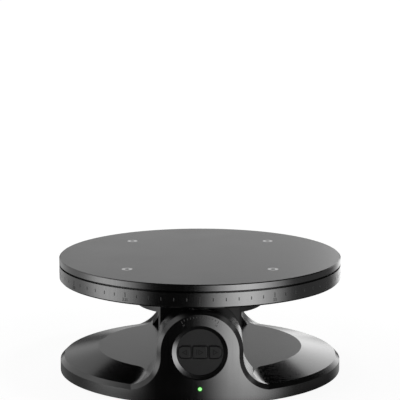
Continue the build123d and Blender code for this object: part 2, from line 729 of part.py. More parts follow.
def trunnion(bored):
    """Stub shaft of the tilt axis with its flange, made along +Z from the centre of the head."""
    clip = TOWER_WALL_Y + BEARING_W
    near, far = FLANGE_Y
    outline = [
        (FLANGE_R, near), (FLANGE_R, far), (TRUNNION_SHOULDER_R, far), (TRUNNION_SHOULDER_R, TOWER_WALL_Y),
        (SHAFT_R, TOWER_WALL_Y), (SHAFT_R, clip), (CLIP_SEAT_R, clip), (CLIP_SEAT_R, clip + CLIP_W),
        (SHAFT_R, clip + CLIP_W),
    ]
    if bored:
        end = GEAR_STEP_Y + 0.6
        outline += [(SHAFT_R, end), (TRUNNION_BORE_R, end), (TRUNNION_BORE_R, near)]
    else:
        end = TILT_GEAR_Y[1] + 3.5
        seat_r = NUT_SEAT_R - SNUG
        outline += [(SHAFT_R, GEAR_STEP_Y), (seat_r, GEAR_STEP_Y), (seat_r, end), (0, end), (0, near)]
    shaft = turned(*outline)
    for x, y in around(3, TRUNNION_SCREW_R, 90 if bored else -90):
        shaft -= rod(M3 + LOOSE, near - 1, far + 1, x, y)
    return to_front(shaft) if bored else to_rear(shaft)


def trunnion_screws():
    screws = []
    for place, first in ((to_front, 90), (to_rear, -90)):
        for x, y in around(3, TRUNNION_SCREW_R, first):
            screws.append(place(Pos(x, y, FLANGE_Y[0]) * Rot(180, 0, 0) * pan_screw(M3, 6.4)))
    return solids_of(screws)


def tilt_gear():
    wheel = gear(TILT_MODULE, TILT_GEAR_TEETH, *TILT_GEAR_Y, 45)
    wheel += rod(9.0, GEAR_STEP_Y, TILT_GEAR_Y[0] + 0.5)
    wheel -= rod(NUT_SEAT_R, GEAR_STEP_Y - 1, TILT_GEAR_Y[1] + 1)
    for x, y in around(6, 11.4, 15):
        wheel -= rod(1.8, TILT_GEAR_Y[0] - 1, TILT_GEAR_Y[1] + 1, x, y)
    return to_rear(wheel)


def tilt_gear_nut():
    low = TILT_GEAR_Y[1]
    return to_rear(hexagon(16, low, low + 3) - rod(NUT_SEAT_R, low - 1, low + 4))


def tilt_pinion():
    half_pitch = 180 / TILT_PINION_TEETH
    wheel = gear(TILT_MODULE, TILT_PINION_TEETH, *TILT_GEAR_Y, 225 + half_pitch)
    wheel -= rod(M3 + TINY, TILT_GEAR_Y[0] - 1, TILT_GEAR_Y[1] + 1)
    return to_rear(wheel, MOTOR_OFFSET, PIVOT_Z - MOTOR_OFFSET)


def tilt_motor_shaft():
    shaft = rod(M3, TILT_GEAR_Y[0] - 1, TILT_MOTOR_Y[0] + 4.8)
    return to_rear(shaft, MOTOR_OFFSET, PIVOT_Z - MOTOR_OFFSET)


# -------------------------------------------------------------------------------------------- platter pieces
def disc_screw_places():
    return [(x, y) for x in (-DISC_SCREW_XY, DISC_SCREW_XY) for y in (-DISC_SCREW_XY, DISC_SCREW_XY)]


def top_disc():
    disc = turned(
        (0, DISC_LOW), (PLATTER_R, DISC_LOW), (PLATTER_R, PLATTER_TOP - DISC_CHAMFER),
        (PLATTER_R - DISC_CHAMFER, PLATTER_TOP), (0, PLATTER_TOP),
    )
    for x, y in disc_screw_places():
        disc -= Pos(x, y, PLATTER_TOP) * flat_screw_hole(M4, 8)
    return disc


def disc_screws():
    return solids_of(Pos(x, y, PLATTER_TOP) * flat_screw(M4, 11) for x, y in disc_screw_places())


def dial_ring():
    """Shallow dish turned upside down, with the numbered rim outside and ribs and bosses below its web."""
    inner_r = PLATTER_R - RIM_WALL
    neck_r = PLATTER_R - GROOVE_DEPTH
    ring = turned(
        (0, DISC_LOW), (neck_r, DISC_LOW), (neck_r, RING_TOP), (PLATTER_R, RING_TOP),
        (PLATTER_R, RING_LOW + RING_CHAMFER), (PLATTER_R - RING_CHAMFER, RING_LOW), (inner_r, RING_LOW),
        (inner_r, WEB_LOW), (0, WEB_LOW),
    )
    rib_low = WEB_LOW - 3
    for turn in range(0, 360, 45):
        ring += Rot(0, 0, turn) * block(HUB_R + 1, inner_r + 1, -1, 1, rib_low, WEB_LOW + 0.5)
    for x, y in disc_screw_places():
        ring += rod(5, rib_low, WEB_LOW + 0.5, x, y)
        ring -= rod(M4 + LOOSE, rib_low - 1, DISC_LOW + 1, x, y)
    ring -= rod(10 + LOOSE, WEB_LOW - 1, WEB_LOW + 2)
    for x, y in around(4, HUB_SCREW_R, 45):
        ring -= rod(M3 + LOOSE, WEB_LOW - 1, WEB_LOW + 3, x, y)
    return ring


def spindle():
    low = LOWER_BEARING_Z
    shaft = turned(
        (0, WEB_LOW + 1.9), (10, WEB_LOW + 1.9), (10, WEB_LOW), (HUB_R, WEB_LOW), (HUB_R, HUB_Z[0]),
        (COLLAR_R, HUB_Z[0]), (COLLAR_R, SPIN_GEAR_Z[1]), (SHAFT_R, SPIN_GEAR_Z[1]), (SHAFT_R, low),
        (CLIP_SEAT_R, low), (CLIP_SEAT_R, low - CLIP_W), (SHAFT_R, low - CLIP_W), (SHAFT_R, low - 2),
        (0, low - 2),
    )
    for x, y in around(4, HUB_SCREW_R, 45):
        shaft -= rod(M3 + LOOSE, HUB_Z[0] - 1, HUB_Z[1] + 1, x, y)
    return shaft


def hub_screws():
    places = around(4, HUB_SCREW_R, 45)
    return solids_of(Pos(x, y, HUB_Z[0]) * Rot(180, 0, 0) * pan_screw(M3, 5.6) for x, y in places)


def spin_gear():
    low, high = SPIN_GEAR_Z
    wheel = gear(SPIN_MODULE, SPIN_GEAR_TEETH, low, high, 90)
    wheel += rod(INNER_RING_R - 0.2, DECK_Z[1], low + 0.5)
    wheel -= rod(BEARING_BORE_R, DECK_Z[1] - 1, high + 1)
    for x, y in around(6, 16.5, 0):
        wheel -= rod(4.2, low - 1, high + 1, x, y)
    return wheel


def spin_pinion():
    low, high = SPIN_GEAR_Z
    half_pitch = 180 / SPIN_PINION_TEETH
    wheel = gear(SPIN_MODULE, SPIN_PINION_TEETH, low, high, 270 + half_pitch)
    wheel += rod(5.0, low - 1.8, low + 0.5)
    wheel -= rod(SPIN_SHAFT_R + TINY, low - 3, high + 1)
    return Pos(0, SPIN_CENTRES, 0) * wheel


def spin_motor_shaft():
    return rod(SPIN_SHAFT_R, DECK_Z[0] - 7.8, SPIN_GEAR_Z[1] + 1, 0, SPIN_CENTRES)


def bearing_spacer():
    return tube(INNER_RING_R - 0.2, BEARING_BORE_R, LOWER_BEARING_Z + BEARING_W, UPPER_BEARING_Z)


# ------------------------------------------------------------------------------------------------- all nodes
def all_parts():
    side_outer, side_inner, side_balls = bearing(TOWER_WALL_Y)
    upper_outer, upper_inner, upper_balls = bearing(UPPER_BEARING_Z)
    lower_outer, lower_inner, lower_balls = bearing(LOWER_BEARING_Z)
    side_clip = circlip(TOWER_WALL_Y + BEARING_W, TOWER_WALL_Y + BEARING_W + CLIP_W - SNUG)
    return {
        "base_shell": base_shell(),
        "base_plate": base_plate(),
        "base_plate_screws": base_plate_screws(),
        "foot_front_left": foot(-FOOT_XY, -FOOT_XY),
        "foot_front_right": foot(FOOT_XY, -FOOT_XY),
        "foot_rear_left": foot(-FOOT_XY, FOOT_XY),
        "foot_rear_right": foot(FOOT_XY, FOOT_XY),
        "keypad_fascia": keypad_fascia(),
        "keypad_board": keypad_board(),
        "board_screws": board_screws(),
        "status_lens": status_lens(),
        "button_left": button(-1),
        "button_play": button(0),
        "button_right": button(1),
        "dc_jack": dc_jack(),
        "main_board": main_board(),
        "base_wiring": base_wiring(),
        "tilt_motor": tilt_motor(),
        "tilt_motor_bracket": tilt_motor_bracket(),
        "bracket_screws": bracket_screws(),
        "front_bearing_outer": to_front(side_outer),
        "front_bearing_balls": to_front(side_balls),
        "rear_bearing_outer": to_rear(side_outer),
        "rear_bearing_balls": to_rear(side_balls),
        "head_casing": head_casing(),
        "head_cover": head_cover(),
        "head_cover_screws": head_cover_screws(),
        "gear_deck": gear_deck(),
        "deck_screws": deck_screws(),
        "spin_motor": spin_motor(),
        "driver_board": driver_board(),
        "front_trunnion": trunnion(True),
        "rear_trunnion": trunnion(False),
        "trunnion_screws": trunnion_screws(),
        "front_bearing_inner": to_front(side_inner),
        "rear_bearing_inner": to_rear(side_inner),
        "front_circlip": to_front(side_clip),
        "rear_circlip": to_rear(side_clip),
        "tilt_gear": tilt_gear(),
        "tilt_gear_nut": tilt_gear_nut(),
        "tilt_pinion": tilt_pinion(),
        "tilt_motor_shaft": tilt_motor_shaft(),
        "upper_bearing_outer": upper_outer,
        "upper_bearing_balls": upper_balls,
        "lower_bearing_outer": lower_outer,
        "lower_bearing_balls": lower_balls,
        "top_disc": top_disc(),
        "disc_screws": disc_screws(),
        "dial_ring": dial_ring(),
        "spindle": spindle(),
        "hub_screws": hub_screws(),
        "spin_gear": spin_gear(),
        "upper_bearing_inner": upper_inner,
        "lower_bearing_inner": lower_inner,
        "bearing_spacer": bearing_spacer(),
        "spindle_circlip": circlip(LOWER_BEARING_Z - CLIP_W + SNUG, LOWER_BEARING_Z),
        "spin_pinion": spin_pinion(),
        "spin_motor_shaft": spin_motor_shaft(),
    }


os.makedirs("parts", exist_ok=True)
for name, shape in all_parts().items():
    export_step(shape, "parts/" + name + ".step")
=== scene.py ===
"""Looks of the tilting turntable: finishes, printed marks, studio light, floor and camera."""
from collections import namedtuple
import json
import math

import bmesh
import bpy
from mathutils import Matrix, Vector


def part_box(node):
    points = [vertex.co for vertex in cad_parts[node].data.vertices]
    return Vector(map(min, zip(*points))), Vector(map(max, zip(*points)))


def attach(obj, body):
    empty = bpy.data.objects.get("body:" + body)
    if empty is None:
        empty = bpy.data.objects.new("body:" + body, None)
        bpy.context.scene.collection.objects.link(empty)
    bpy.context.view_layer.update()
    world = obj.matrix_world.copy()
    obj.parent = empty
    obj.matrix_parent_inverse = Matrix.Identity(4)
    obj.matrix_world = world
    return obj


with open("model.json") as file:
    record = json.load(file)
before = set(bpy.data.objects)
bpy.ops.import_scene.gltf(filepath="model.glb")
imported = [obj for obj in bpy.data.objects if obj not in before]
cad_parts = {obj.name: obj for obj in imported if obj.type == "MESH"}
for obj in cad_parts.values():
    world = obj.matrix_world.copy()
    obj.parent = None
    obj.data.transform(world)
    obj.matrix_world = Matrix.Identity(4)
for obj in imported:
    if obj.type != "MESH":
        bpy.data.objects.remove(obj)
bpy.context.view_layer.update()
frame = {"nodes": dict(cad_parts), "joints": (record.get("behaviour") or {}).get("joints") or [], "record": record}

MM = 0.001
FRONT = math.radians(-90)  # the azimuth of -Y, which the keypad and the dial's 0 face


# ---- shader building ----

class Shader:
    """A node tree being built. Its methods add nodes to it, and most return an output socket."""

    def __init__(self, tree):
        self.tree = tree
        self.tree.nodes.clear()

    def node(self, kind, **settings):
        made = self.tree.nodes.new(kind)
        for name, value in settings.items():
            setattr(made, name, value)
        return made

    def feed(self, socket, source):
        """Links a socket to another one's output, or sets it to a plain value."""
        if isinstance(source, bpy.types.NodeSocket):
            self.tree.links.new(source, socket)
        else:
            socket.default_value = source

    def place(self):
        """The point in the piece's own space, in metres."""
        return self.node("ShaderNodeTexCoord").outputs["Object"]

    def split(self, vector):
        made = self.node("ShaderNodeSeparateXYZ")
        self.feed(made.inputs[0], vector)
        return made.outputs

    def join(self, x, y, z):
        made = self.node("ShaderNodeCombineXYZ")
        for socket, value in zip(made.inputs, (x, y, z)):
            self.feed(socket, value)
        return made.outputs[0]

    def math(self, operation, *values):
        made = self.node("ShaderNodeMath", operation=operation)
        for socket, value in zip(made.inputs, values):
            self.feed(socket, value)
        return made.outputs[0]

    def vector_math(self, operation, *values):
        """Returns the node itself, because its result is a vector or a value by its operation."""
        made = self.node("ShaderNodeVectorMath", operation=operation)
        for socket, value in zip(made.inputs, values):
            self.feed(socket, value)
        return made

    def noise(self, size, place=None, stretch=(1, 1, 1), detail=2.0, roughness=0.5):
        """Noise whose spots are about size metres across, 0 to 1."""
        scaled = self.vector_math("MULTIPLY", place or self.place(), stretch).outputs[0]
        made = self.node("ShaderNodeTexNoise")
        self.feed(made.inputs["Vector"], scaled)
        self.feed(made.inputs["Scale"], 1 / size)
        self.feed(made.inputs["Detail"], detail)
        self.feed(made.inputs["Roughness"], roughness)
        return made.outputs["Fac"]

    def remap(self, source, low, high, to_low=0.0, to_high=1.0, smooth=False):
        kind = "SMOOTHSTEP" if smooth else "LINEAR"
        made = self.node("ShaderNodeMapRange", interpolation_type=kind)
        for socket, value in zip(made.inputs, (source, low, high, to_low, to_high)):
            self.feed(socket, value)
        return made.outputs[0]

    def blend(self, share, colour_a, colour_b):
        made = self.node("ShaderNodeMix", data_type="RGBA")
        self.feed(made.inputs["Factor"], share)
        colours = [s for s in made.inputs if s.type == "RGBA"]
        self.feed(colours[0], colour_a)
        self.feed(colours[1], colour_b)
        return [s for s in made.outputs if s.type == "RGBA"][0]

    def bump(self, height, depth, strength):
        """A normal from a height of 0 to 1, where 1 stands depth metres high."""
        made = self.node("ShaderNodeBump")
        self.feed(made.inputs["Strength"], strength)
        self.feed(made.inputs["Distance"], depth)
        self.feed(made.inputs["Height"], height)
        return made.outputs[0]


def grey(level):
    return (level, level, level, 1.0)


def new_material(name):
    material = bpy.data.materials.new(name)
    material.use_nodes = True
    return material, Shader(material.node_tree)


def surface(shader, **inputs):
    """The principled surface of a material. Names are its sockets' names with _ for a space."""
    bsdf = shader.node("ShaderNodeBsdfPrincipled")
    for name, value in inputs.items():
        shader.feed(bsdf.inputs[name.replace("_", " ")], value)
    output = shader.node("ShaderNodeOutputMaterial")
    shader.feed(output.inputs["Surface"], bsdf.outputs[0])


def around(shader):
    """A point as (angle round Z, distance from Z, height), so that noise follows turning marks."""
    x, y, z = shader.split(shader.place())
    angle = shader.math("ARCTAN2", y, x)
    squares = shader.math("ADD", shader.math("MULTIPLY", x, x), shader.math("MULTIPLY", y, y))
    return shader.join(angle, shader.math("SQRT", squares), z)


# ---- finishes ----

def anodised(name, tone, rough, grain, streaks):
    """Fine-blasted aluminium under a dark anodic layer, with faint upright streaks on turned rims."""
    material, s = new_material(name)
    blasted = s.noise(grain, detail=3.0)
    clouds = s.noise(28 * MM)
    normal = s.split(s.node("ShaderNodeTexCoord").outputs["Normal"])
    upright = s.remap(s.math("ABSOLUTE", normal[2]), 0.1, 0.3, 1.0, 0.0)
    rims = s.noise(0.5 * MM, place=around(s), stretch=(0.06, 0, 0.02))
    colour = s.blend(s.remap(clouds, 0.35, 0.65), grey(tone * 0.94), grey(tone * 1.06))
    base = s.remap(clouds, 0.3, 0.7, rough - 0.015, rough + 0.015)
    lines = s.math("MULTIPLY", upright, s.remap(rims, 0.3, 0.7, -streaks, streaks))
    surface(
        s,
        Base_Color=colour,
        Metallic=1.0,
        Roughness=s.math("ADD", base, lines),
        Normal=s.bump(blasted, 0.006 * MM, 0.5),
    )
    return material


def moulded(name, tone, rough, grain=0.35 * MM, ior=1.5, tint=(1.0, 1.0, 1.0)):
    """Injection-moulded plastic with a spark-eroded grain."""
    material, s = new_material(name)
    pits = s.noise(grain, detail=3.0, roughness=0.6)
    clouds = s.noise(18 * MM)
    dark = (*(tone * 0.9 * c for c in tint), 1.0)
    light = (*(tone * 1.1 * c for c in tint), 1.0)
    surface(
        s,
        Base_Color=s.blend(s.remap(clouds, 0.3, 0.7), dark, light),
        Roughness=s.remap(pits, 0.3, 0.7, rough - 0.04, rough + 0.04),
        IOR=ior,
        Normal=s.bump(pits, 0.02 * MM, 0.5),
    )
    return material


def machined(name, colour, rough, pitch=0.25 * MM):
    """Bare metal with fine turning lines round the Z axis and slightly duller patches."""
    material, s = new_material(name)
    lines = s.noise(pitch, place=around(s), stretch=(0.002, 1, 1), detail=1.0)
    patches = s.noise(6 * MM)
    low = (*(c * 0.88 for c in colour), 1.0)
    high = (*colour, 1.0)
    surface(
        s,
        Base_Color=s.blend(s.remap(patches, 0.3, 0.7), low, high),
        Metallic=1.0,
        Roughness=s.remap(lines, 0.25, 0.75, rough - 0.06, rough + 0.08),
        Normal=s.bump(lines, 0.006 * MM, 0.5),
    )
    return material


def rubber(name, tone):
    """Matte rubber with a dusty, uneven surface."""
    material, s = new_material(name)
    dust = s.noise(1.2 * MM, detail=4.0, roughness=0.65)
    surface(
        s,
        Base_Color=s.blend(s.remap(dust, 0.45, 0.75), grey(tone), grey(tone * 1.8)),
        Roughness=s.remap(dust, 0.3, 0.7, 0.75, 0.92),
        Normal=s.bump(dust, 0.03 * MM, 0.6),
    )
    return material


BOARD_GREEN = (0.01, 0.10, 0.035, 1.0)
TRACK_GREEN = (0.02, 0.19, 0.07, 1.0)
TRACK_STEP = 1 * MM
TRACK_WAVES = 90.0  # the wave texture's scale


def lacquered_board(name):
    """Green solder mask over copper tracks."""
    material, s = new_material(name)
    tracks = s.node("ShaderNodeTexWave", wave_type="BANDS", bands_direction="DIAGONAL")
    stepped = s.vector_math("SNAP", s.place(), (TRACK_STEP, TRACK_STEP, TRACK_STEP)).outputs[0]
    s.feed(tracks.inputs["Vector"], stepped)
    s.feed(tracks.inputs["Scale"], TRACK_WAVES)
    lanes = s.remap(tracks.outputs["Fac"], 0.45, 0.55)
    surface(
        s,
        Base_Color=s.blend(lanes, BOARD_GREEN, TRACK_GREEN),
        Roughness=s.remap(s.noise(2 * MM), 0.3, 0.7, 0.22, 0.34),
        Normal=s.bump(lanes, 0.03 * MM, 0.6),
    )
    return material


LENS_GLOW = (0.95 * MM, 1.45 * MM)  # distances from its middle where the glow starts to fade and is gone
GLOW_PALE = (0.40, 1.0, 0.34, 1.0)
GLOW_DEEP = (0.0, 0.09, 0.0, 1.0)
LENS_PALE = (0.1, 0.5, 0.1, 1.0)
LENS_DEEP = (0.0, 0.05, 0.0, 1.0)


def lit_lens(name):
    """A clear green indicator, lit from behind: pale at its middle and deep green at its rim."""
    material, s = new_material(name)
    low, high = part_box("status_lens")
    middle = (low + high) / 2
    across = s.vector_math("SUBTRACT", s.place(), tuple(middle)).outputs[0]
    flat = s.vector_math("MULTIPLY", across, (1, 0, 1)).outputs[0]
    distance = s.vector_math("LENGTH", flat).outputs["Value"]
    edge = s.remap(distance, *LENS_GLOW, smooth=True)
    glow = s.blend(edge, GLOW_PALE, GLOW_DEEP)
    surface(
        s,
        Base_Color=s.blend(edge, LENS_PALE, LENS_DEEP),
        Roughness=s.remap(s.noise(0.4 * MM), 0.3, 0.7, 0.10, 0.20),
        Emission_Color=glow,
        Emission_Strength=1.0,
    )
    return material


def printed(name, tone):
    """Matte screen-printed ink, a little uneven in cover."""
    material, s = new_material(name)
    cover = s.noise(0.3 * MM, detail=3.0)
    surface(
        s,
        Base_Color=s.blend(s.remap(cover, 0.35, 0.65), grey(tone * 0.85), grey(tone)),
        Roughness=s.remap(cover, 0.3, 0.7, 0.6, 0.75),
        Specular_IOR_Level=0.2,
    )
    return material


# One for each material slot in the record.
FINISHES = {
    "black_aluminium": anodised("black_anodised", 0.105, 0.20, 0.30 * MM, streaks=0.03),
    "disc_aluminium": anodised("disc_anodised", 0.105, 0.20, 0.35 * MM, streaks=0.03),
    "head_plastic": moulded("head_moulding", 0.004, 0.36),
    "key_plastic": moulded("key_moulding", 0.02, 0.5, grain=0.25 * MM, ior=1.4),
    "black_plastic": moulded("black_moulding", 0.012, 0.45),
    "black_steel": machined("black_oxide", (0.05, 0.05, 0.052), 0.35),
    "bright_steel": machined("bright_steel", (0.62, 0.62, 0.63), 0.22),
    "bearing_steel": machined("bearing_steel", (0.66, 0.66, 0.68), 0.12),
    "motor_steel": machined("zinc_plate", (0.40, 0.40, 0.41), 0.34),
    "plain_aluminium": machined("milled_aluminium", (0.60, 0.60, 0.61), 0.32, pitch=0.5 * MM),
    "brass": machined("brass", (0.72, 0.52, 0.23), 0.25),
    "gear_nylon": moulded("nylon", 0.70, 0.5, tint=(1.0, 0.985, 0.93)),
    "circuit_board": lacquered_board("circuit_board"),
    "wire_sheath": rubber("wire_sheath", 0.02),
    "foot_rubber": rubber("foot_rubber", 0.014),
    "green_lens": lit_lens("green_lens"),
}


SCREW_HEAD_R = 3.7 * MM
SOCKET_SHADE_REACH = (1.3 * MM, 1.9 * MM)  # distances from its middle where the painted shade in the socket starts to fade and is gone
# the colour of the painted shade inside the screw's socket recess
SOCKET_SHADE_TONE = 0.02
POLISHED_TONE = 0.86


def screw_head(name):
    """Polished steel round a socket painted dark as shade, for the four screws in the platter's face."""
    material, s = new_material(name)
    _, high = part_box("disc_screws")
    x, y, _ = s.split(s.place())
    aside = s.math("SUBTRACT", s.math("ABSOLUTE", x), high.x - SCREW_HEAD_R)
    along = s.math("SUBTRACT", s.math("ABSOLUTE", y), high.y - SCREW_HEAD_R)
    distance = s.vector_math("LENGTH", s.join(aside, along, 0.0)).outputs["Value"]
    outside_shade = s.remap(distance, *SOCKET_SHADE_REACH, smooth=True)
    scratches = s.noise(0.2 * MM)
    surface(
        s,
        # painted shade: the socket's recess is coloured dark, fading out to the polished face
        Base_Color=s.blend(outside_shade, grey(SOCKET_SHADE_TONE), grey(POLISHED_TONE)),
        Metallic=1.0,
        Roughness=s.remap(scratches, 0.3, 0.7, 0.14, 0.22),
        Normal=s.bump(scratches, 0.002 * MM, 0.5),
    )
    return material


def paint_nodes():
    """Each CAD node gets the finish of its material slot in the record, or one of its own."""
    own_finish = {"disc_screws": screw_head("screw_head")}
    for part in frame["record"]["subparts"]:
        finish = own_finish.get(part["node"], FINISHES[part["material_slot"]])
        for slot in frame["nodes"][part["node"]].material_slots:
            slot.material = finish


# ---- printed marks ----

MARK_PROUD = 0.03 * MM
MARK_SUNK = 0.03 * MM
FIGURE_SHARE = 0.72  # the height of the built-in font's figures as a share of its size
DIAL_TICK_WIDTH = 0.6 * MM
DIAL_STEP = 5
DIAL_LABEL_STEP = 30
DIAL_MINOR = (4.65 * MM, 6.85 * MM)  # heights above the ring's lower edge
DIAL_MAJOR = (4.7 * MM, 7.9 * MM)
DIAL_LABEL_LOW = 2.0 * MM
DIAL_LABEL_HEIGHT = 2.2 * MM
SCALE_LIMIT = 30
SCALE_STEP = 5
SCALE_TICK_WIDTH = 0.35 * MM
SCALE_MINOR = (23.8 * MM, 25.1 * MM)  # distances from the tilt axis
SCALE_MAJOR = (22.9 * MM, 25.1 * MM)
SCALE_LABEL_RADIUS = 21.6 * MM
SCALE_LABEL_HEIGHT = 1.3 * MM


def prism(outline, depth_low, depth_high, mesh, place):
    """Adds a closed prism to a bmesh. The outline is flat (u, v) points, and place maps (u, v, depth)."""
    near = [mesh.verts.new(place(u, v, depth_high)) for u, v in outline]
    far = [mesh.verts.new(place(u, v, depth_low)) for u, v in outline]
    mesh.faces.new(near)
    mesh.faces.new(list(reversed(far)))
    count = len(outline)
    for i in range(count):
        j = (i + 1) % count
        mesh.faces.new((near[j], near[i], far[i], far[j]))


def finished_piece(name, mesh, material, body):
    """Turns a bmesh into a piece that rides on a body."""
    bmesh.ops.recalc_face_normals(mesh, faces=mesh.faces)
    data = bpy.data.meshes.new(name)
    mesh.to_mesh(data)
    mesh.free()
    data.materials.append(material)
    piece = bpy.data.objects.new(name, data)
    bpy.context.scene.collection.objects.link(piece)
    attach(piece, body)


def add_text(mesh, text, height, place, depth_low, depth_high):
    """Adds a line of figures to a bmesh, centred on u = 0 with its foot at v = 0."""
    curve = bpy.data.curves.new("figures", "FONT")
    curve.body = text
    curve.align_x = "CENTER"
    curve.size = height / FIGURE_SHARE
    curve.extrude = 1.0
    holder = bpy.data.objects.new("figures", curve)
    figures = bpy.data.meshes.new_from_object(holder)
    for vertex in figures.vertices:
        u, v, side = vertex.co
        vertex.co = place(u, v, depth_high if side > 0 else depth_low)
    mesh.from_mesh(figures)
    bpy.data.meshes.remove(figures)
    bpy.data.objects.remove(holder)
    bpy.data.curves.remove(curve)


def bar(u_low, u_high, v_low, v_high):
    return [(u_low, v_low), (u_high, v_low), (u_high, v_high), (u_low, v_high)]


def on_drum(radius, azimuth, foot):
    """Maps flat marks onto an upright cylinder, centred at an azimuth with their foot at a height."""
    def place(u, v, depth):
        angle = azimuth + u / radius
        reach = radius + depth
        return Vector((reach * math.cos(angle), reach * math.sin(angle), foot + v))
    return place


def dial_marks(ink):
    """The platter's degree scale: a tick every 5 degrees, a longer one and a figure every 30."""
    low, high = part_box("dial_ring")
    radius = high.x
    ticks = bmesh.new()
    figures = bmesh.new()
    half = DIAL_TICK_WIDTH / 2
    for degrees in range(0, 360, DIAL_STEP):
        place = on_drum(radius, FRONT + math.radians(degrees), low.z)
        foot, top = DIAL_MINOR
        if degrees % DIAL_LABEL_STEP == 0:
            foot, top = DIAL_MAJOR
            label = on_drum(radius, FRONT + math.radians(degrees), low.z + DIAL_LABEL_LOW)
            add_text(figures, str(degrees), DIAL_LABEL_HEIGHT, label, -MARK_SUNK, MARK_PROUD)
        prism(bar(-half, half, foot, top), -MARK_SUNK, MARK_PROUD, ticks, place)
    finished_piece("dial_ticks", ticks, ink, "platter")
    finished_piece("dial_figures", figures, ink, "platter")


def tilt_marks(ink):
    """The fixed scale of tilt on the front tower, from -30 to 30 degrees about the tilt axis."""
    _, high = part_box("base_shell")
    radius = high.x
    tilt = next(joint for joint in frame["joints"] if joint["name"] == "tilt")
    axis_height = tilt["pos_m"][2]
    marks = bmesh.new()
    half = SCALE_TICK_WIDTH / 2

    def on_face(turn):
        """Maps flat marks, v pointing away from the tilt axis, onto the tower's curved front."""
        def place(u, v, depth):
            x = v * math.sin(turn) + u * math.cos(turn)
            z = v * math.cos(turn) - u * math.sin(turn)
            grow = (radius + depth) / radius
            return Vector((x * grow, -math.sqrt(radius ** 2 - x ** 2) * grow, axis_height + z))
        return place

    for degrees in range(-SCALE_LIMIT, SCALE_LIMIT + 1, SCALE_STEP):
        foot, top = SCALE_MAJOR if abs(degrees) == SCALE_LIMIT else SCALE_MINOR
        place = on_face(math.radians(degrees))
        prism(bar(-half, half, foot, top), -MARK_SUNK, MARK_PROUD, marks, place)
    for degrees in (-SCALE_LIMIT, SCALE_LIMIT):
        turned = on_face(math.radians(degrees))

        def lifted(u, v, depth, turned=turned):
            return turned(u, v + SCALE_LABEL_RADIUS - SCALE_LABEL_HEIGHT / 2, depth)

        add_text(marks, str(abs(degrees)), SCALE_LABEL_HEIGHT, lifted, -MARK_SUNK, MARK_PROUD)
    finished_piece("tilt_scale", marks, ink, "base")


ICON_HALF_HEIGHT = 1.9 * MM
ICON_WIDTH = 3.3 * MM
ICON_LINE = 0.42 * MM
ICON_TIP_INSET = 1.9  # how far the inner tip and back corners stand in, in line widths
ICON_CORNER_INSET = 1.7
PLAY_ARROW_SHIFT = 0.6 * MM
PLAY_BAR_OFFSET = -2.2 * MM


def outlined_triangle(direction, middle):
    """The outer and inner corner loops of a hollow triangle that points along +u or -u."""
    def corners(inset):
        back = middle - direction * (ICON_WIDTH / 2 - inset)
        tip = middle + direction * (ICON_WIDTH / 2 - ICON_TIP_INSET * inset)
        half = ICON_HALF_HEIGHT - ICON_CORNER_INSET * inset
        return [(back, -half), (tip, 0.0), (back, half)]
    return corners(0.0), corners(ICON_LINE)


def key_icon(name, node, body, ink, direction, bar_offset=None):
    """A hollow arrow on a key's face, with an upright bar beside it on the play key."""
    low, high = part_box(node)
    centre = Vector(((low.x + high.x) / 2, low.y, (low.z + high.z) / 2))

    def place(u, v, depth):
        return centre + Vector((u, -depth, v))

    mesh = bmesh.new()
    outer, inner = outlined_triangle(direction, 0.0 if bar_offset is None else PLAY_ARROW_SHIFT)
    for i in range(3):
        j = (i + 1) % 3
        prism([outer[i], outer[j], inner[j], inner[i]], -MARK_SUNK, MARK_PROUD, mesh, place)
    if bar_offset is not None:
        sides = (bar_offset - ICON_LINE / 2, bar_offset + ICON_LINE / 2)
        prism(bar(*sides, -ICON_HALF_HEIGHT, ICON_HALF_HEIGHT), -MARK_SUNK, MARK_PROUD, mesh, place)
    finished_piece(name, mesh, ink, body)


# ---- studio ----

# A soft box far away, in degrees. The azimuth of its brightest part runs from the front towards +X.
# Left and right are the half widths of its even part and of all of it. Low and high are the
# elevations where it starts and ends, each with the width of the soft edge there.
SoftBox = namedtuple("SoftBox", "azimuth left right low high strength")
SOFT_BOXES = {
    "left_key": SoftBox(-78, (0, 43), (0, 41), (-17, 6), (8, 14), 3.2),
    "left_upper": SoftBox(-112, (20, 40), (15, 38), (38, 14), (66, 14), 0.35),
    "right_key": SoftBox(38, (0, 42), (0, 44), (-25, 8), (6, 15), 4.2),
    "back_right": SoftBox(167, (0, 40), (6.5, 9), (-17, 7), (29, 16), 1.6),
    "slope_right": SoftBox(166, (5, 14), (5, 14), (24, 8), (38, 14), 0.3),
    "slope_left": SoftBox(-166, (5, 14), (5, 14), (19, 8), (36, 12), 0.2),
    "back_left": SoftBox(-140, (16, 34), (20, 40), (-30, 10), (50, 15), 0.60),
    "behind": SoftBox(180, (24, 45), (8, 30), (-10, 6), (16, 14), 0.64),
    "side_fill": SoftBox(100, (20, 60), (20, 60), (-30, 10), (10, 10), 0.18),
    "left_fill": SoftBox(-75, (20, 40), (25, 38), (14, 8), (46, 20), 0.55),
    "right_fill": SoftBox(75, (25, 38), (10, 22), (14, 8), (42, 18), 0.55),
    "right_back_fill": SoftBox(112, (20, 35), (12, 22), (13, 8), (23, 8), 0.45),
    "overhead_back": SoftBox(-170, (20, 50), (20, 50), (44, 12), (78, 12), 0.6),
}
# Strips where the boxes behind are covered, to darken what the rear tower's flanks mirror.
BLACK_CARDS = {
    "left_card": SoftBox(-168, (5, 8), (5, 9), (-9, 4), (8, 4), 1.0),
    "right_card": SoftBox(168, (5, 10), (4, 7), (-9, 4), (4, 4), 1.0),
}
AMBIENT = 0.015
FLOOR_GLOW = 0.03
FLOOR_RISE = (-0.38, -0.6)  # sines of the elevations where the floor's glow starts and is whole
WHITE = (1.0, 1.0, 1.0, 1.0)


def heading(azimuth):
    """The level direction of an azimuth in degrees."""
    angle = math.radians(azimuth)
    return (math.sin(angle), -math.cos(angle), 0.0)


